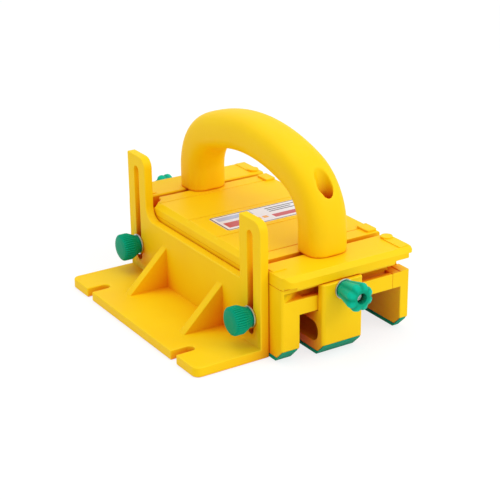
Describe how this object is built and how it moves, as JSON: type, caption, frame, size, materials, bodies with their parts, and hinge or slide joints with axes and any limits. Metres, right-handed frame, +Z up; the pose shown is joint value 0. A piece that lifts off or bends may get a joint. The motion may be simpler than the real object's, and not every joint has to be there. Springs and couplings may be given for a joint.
{
  "type": "table saw push block",
  "caption": "Push block for feeding boards past a saw blade: arched handle on a deck, left leg, clamped sliding centre leg, thin side leg and a balance support plate that slides up and down.",
  "frame": {"origin": "on the table, under the middle of the body, on the centre leg's sole", "axes": "+X right, across the feed; +Y to the rear, along the feed; +Z up from the table"},
  "size_m": [0.1881, 0.308, 0.1579],
  "materials": {
    "body_yellow": "moulded, fine grain",
    "knob_green": "moulded, semi-gloss",
    "pad_green": "soft grip rubber",
    "steel": "zinc plated",
    "brass": "turned",
    "label": "printed film"
  },
  "bodies": {
    "chassis": {"main_chassis": "body_yellow", "deck_cover": "body_yellow", "deck_label": "label", "front_crossbar": "body_yellow", "rear_crossbar": "body_yellow", "side_leg": "body_yellow", "left_pad": "pad_green", "right_pad": "pad_green", "crossbar_screws": "steel", "deck_screws": "steel", "side_leg_screws": "steel", "support_inserts": "brass", "handle": "body_yellow", "handle_bolts": "steel", "handle_washers": "steel", "handle_nuts": "steel"},
    "center_leg": {"center_leg": "body_yellow", "center_pad": "pad_green", "front_t_bolt": "steel", "rear_t_bolt": "steel", "front_clamp_washer": "steel", "rear_clamp_washer": "steel"},
    "front_clamp_knob": {"front_clamp_knob": "knob_green", "front_knob_bush": "brass"},
    "rear_clamp_knob": {"rear_clamp_knob": "knob_green", "rear_knob_bush": "brass"},
    "balance_support": {"balance_support": "body_yellow"},
    "front_support_knob": {"front_support_knob": "knob_green", "front_support_stud": "steel", "front_support_washer": "steel"},
    "rear_support_knob": {"rear_support_knob": "knob_green", "rear_support_stud": "steel", "rear_support_washer": "steel"}
  },
  "joints": [
    {"name": "center_leg_slide", "type": "slide", "parent": "chassis", "child": "center_leg", "axis": [1, 0, 0], "range_m": [-0.0156, 0.0423]},
    {"name": "balance_support_slide", "type": "slide", "parent": "chassis", "child": "balance_support", "axis": [0, 0, 1], "range_m": [-0.067, 0.01]},
    {"name": "front_clamp_turn", "type": "hinge", "parent": "center_leg", "child": "front_clamp_knob", "pos_m": [-0.0092, -0.143, 0.0546], "axis": [0, -1, 0], "range_deg": [0, 360]},
    {"name": "rear_clamp_turn", "type": "hinge", "parent": "center_leg", "child": "rear_clamp_knob", "pos_m": [-0.0092, 0.143, 0.0546], "axis": [0, 1, 0], "range_deg": [0, 360]},
    {"name": "front_support_turn", "type": "hinge", "parent": "chassis", "child": "front_support_knob", "pos_m": [-0.078, -0.0902, 0.031], "axis": [-1, 0, 0], "range_deg": [0, 360]},
    {"name": "rear_support_turn", "type": "hinge", "parent": "chassis", "child": "rear_support_knob", "pos_m": [-0.078, 0.0902, 0.031], "axis": [-1, 0, 0], "range_deg": [0, 360]}
  ]
}
